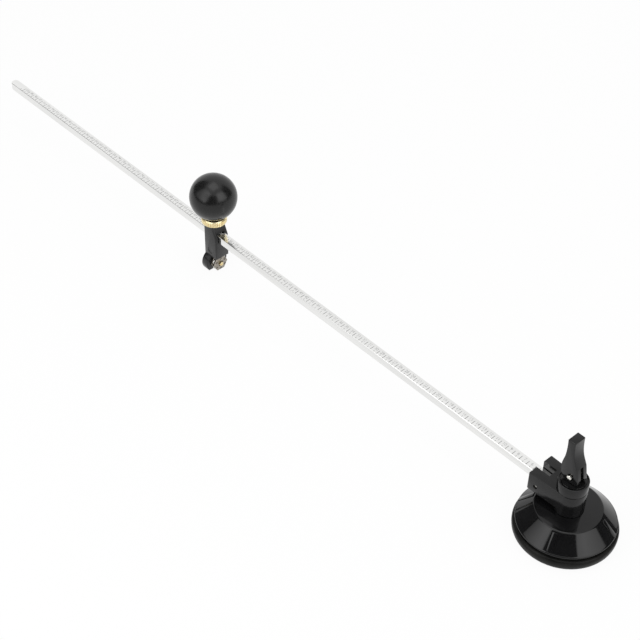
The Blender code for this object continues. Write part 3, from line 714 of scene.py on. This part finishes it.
make_suction_rubber()
make_housing_shell()
make_collar_cap()
make_lever()
make_arm()
make_bar()
make_scale()
make_head()
make_ball()
make_nut()
make_turret()
make_wheels()

kept_as_built = (("cup_stem", pin_steel), ("clamp_stud", pin_steel), ("pressure_pad", nut_brass))
for node, finish in kept_as_built:
    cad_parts[node].material_slots[0].material = finish


# ---------------------------------------------------------------- studio

def rays_to_whiten(nodes, links):
    """1 for what the camera and shiny or clear surfaces see, 0 for light on the object."""
    ray = nodes.new("ShaderNodeLightPath")
    either = nodes.new("ShaderNodeMath")
    either.operation = "MAXIMUM"
    both = nodes.new("ShaderNodeMath")
    both.operation = "MAXIMUM"
    links.new(ray.outputs["Is Camera Ray"], either.inputs[0])
    links.new(ray.outputs["Is Glossy Ray"], either.inputs[1])
    links.new(either.outputs[0], both.inputs[0])
    links.new(ray.outputs["Is Transmission Ray"], both.inputs[1])
    return both.outputs[0]


def make_floor():
    """A white floor that keeps a soft shadow."""
    bpy.ops.object.select_all(action="DESELECT")
    bpy.ops.mesh.primitive_plane_add(size=6, location=(-0.2, 0, -0.0001))
    floor = bpy.context.object
    floor.name = "studio_floor"
    made, nodes, links = new_finish("studio_floor_white")
    skin = nodes["Principled BSDF"]
    skin.inputs["Base Color"].default_value = (0.95, 0.95, 0.95, 1)
    skin.inputs["Roughness"].default_value = 0.9
    glow = nodes.new("ShaderNodeEmission")
    seen = nodes.new("ShaderNodeMath")
    seen.operation = "MULTIPLY"
    seen.inputs[1].default_value = FLOOR_WHITE
    mix = nodes.new("ShaderNodeMixShader")
    links.new(rays_to_whiten(nodes, links), seen.inputs[0])
    links.new(seen.outputs[0], mix.inputs["Fac"])
    links.new(skin.outputs["BSDF"], mix.inputs[1])
    links.new(glow.outputs["Emission"], mix.inputs[2])
    links.new(mix.outputs["Shader"], nodes["Material Output"].inputs["Surface"])
    floor.data.materials.append(made)


def make_world():
    """Soft light all round; the camera and shiny surfaces see white."""
    world = bpy.data.worlds.new("studio_white")
    bpy.context.scene.world = world
    world.use_nodes = True
    world.cycles.sampling_method = "NONE"
    nodes, links = world.node_tree.nodes, world.node_tree.links
    soft = nodes["Background"]
    soft.inputs["Color"].default_value = (1, 1, 1, 1)
    soft.inputs["Strength"].default_value = WORLD_SOFT
    white = nodes.new("ShaderNodeBackground")
    white.inputs["Color"].default_value = (1, 1, 1, 1)
    white.inputs["Strength"].default_value = 1.0
    mix = nodes.new("ShaderNodeMixShader")
    links.new(rays_to_whiten(nodes, links), mix.inputs["Fac"])
    links.new(soft.outputs["Background"], mix.inputs[1])
    links.new(white.outputs["Background"], mix.inputs[2])
    links.new(mix.outputs["Shader"], nodes["World Output"].inputs["Surface"])


def aim(azimuth, elevation):
    """The direction from the cup at two angles in degrees."""
    a, e = math.radians(azimuth), math.radians(elevation)
    return Vector((math.cos(e) * math.cos(a), math.cos(e) * math.sin(a), math.sin(e)))


def make_softbox(name, place, facing, size, power, beam):
    """A lamp square to a direction, with its size in metres, its watts and its beam in degrees."""
    data = bpy.data.lights.new(name, "AREA")
    data.shape = "RECTANGLE"
    data.size, data.size_y = size
    data.energy = power
    data.spread = math.radians(beam)
    lamp = bpy.data.objects.new(name, data)
    bpy.context.scene.collection.objects.link(lamp)
    lamp.location = place
    lamp.rotation_mode = "QUATERNION"
    lamp.rotation_quaternion = facing.to_track_quat("Z", "Y")
    return data


def fade_across(lamp, share):
    """Lets a lamp's face fade sideways, from a share of its brightness to all of it."""
    lamp.use_nodes = True
    nodes, links = lamp.node_tree.nodes, lamp.node_tree.links
    where = nodes.new("ShaderNodeTexCoord")
    split = nodes.new("ShaderNodeSeparateXYZ")
    fade = nodes.new("ShaderNodeMapRange")
    fade.inputs["From Max"].default_value = 0.75
    fade.inputs["To Min"].default_value = share
    links.new(where.outputs["UV"], split.inputs["Vector"])
    links.new(split.outputs["X"], fade.inputs["Value"])
    links.new(fade.outputs["Result"], nodes["Emission"].inputs["Strength"])


def make_dark_card(name, place, facing, size):
    """A dark card out of the camera's sight: only shiny surfaces show it, as a dark band."""
    turn = facing.to_track_quat("Z", "Y").to_euler()
    bpy.ops.object.select_all(action="DESELECT")
    bpy.ops.mesh.primitive_plane_add(size=1, location=place, rotation=turn)
    card = bpy.context.object
    card.name = name
    card.scale = (size[0], size[1], 1)
    made, nodes, _ = new_finish(name)
    skin = nodes["Principled BSDF"]
    skin.inputs["Base Color"].default_value = (CARD_GREY, CARD_GREY, CARD_GREY, 1)
    skin.inputs["Specular IOR Level"].default_value = 0.0
    card.data.materials.append(made)
    card.visible_camera = card.visible_transmission = False
    card.visible_diffuse = card.visible_shadow = False


def make_camera():
    """The photograph's view, from a camera fitted to the cup, the bar and the ball."""
    back = aim(CAMERA_AZIMUTH, CAMERA_ELEVATION)
    level = (-back).cross(Vector((0, 0, 1))).normalized()
    rise = level.cross(-back)
    roll = math.radians(CAMERA_ROLL)
    right = math.cos(roll) * level + math.sin(roll) * rise
    up = -math.sin(roll) * level + math.cos(roll) * rise
    data = bpy.data.cameras.new("photo_camera")
    data.lens = FOCAL_PIXELS * SENSOR / FRAME_PIXELS
    data.sensor_width = SENSOR
    data.clip_start = 0.01
    camera = bpy.data.objects.new("photo_camera", data)
    bpy.context.scene.collection.objects.link(camera)
    pose = Matrix((right, up, back)).transposed().to_4x4()
    pose.translation = Vector(CAMERA_TARGET) + back * CAMERA_DISTANCE
    camera.matrix_world = pose
    bpy.context.scene.camera = camera


make_floor()
make_world()
left_softbox = make_softbox(
    "left_softbox", aim(-104, 33) * 0.7 + aim(-14, 0) * -0.156, aim(-104, 33),
    (0.545, 0.62), 1.9, 180,
)
fade_across(left_softbox, 0.02)
make_softbox(
    "right_softbox", aim(-2, 34) * 1.6 + aim(88, 0) * 0.336, aim(-2, 34), (1.54, 1.4), 2.85, 94
)
make_softbox("top_softbox", Vector((-0.2, 0, 1.45)), Vector((0, 0, 1)), (0.9, 0.9), 3.0, 180)
make_dark_card("middle_dark_card", aim(-57, 20) * 1.85, aim(-57, 20), (2.25, 2.1))
make_dark_card("left_dark_card", aim(-161, 28) * 1.7, aim(-161, 28), (1.15, 1.8))
make_dark_card("right_dark_card", aim(58, 27) * 1.75, aim(58, 27), (1.25, 1.9))
make_dark_card("low_right_dark_card", aim(10, 2) * 1.75, aim(10, 2), (2.3, 0.5))
make_dark_card("low_left_dark_card", aim(-118, 1) * 1.7, aim(-118, 1), (1.6, 0.45))
make_dark_card("floor_dark_card", Vector((-0.15, -1.15, 0.003)), Vector((0, 0, 1)), (3.2, 1.1))
make_camera()
bpy.context.scene.view_settings.view_transform = "Standard"
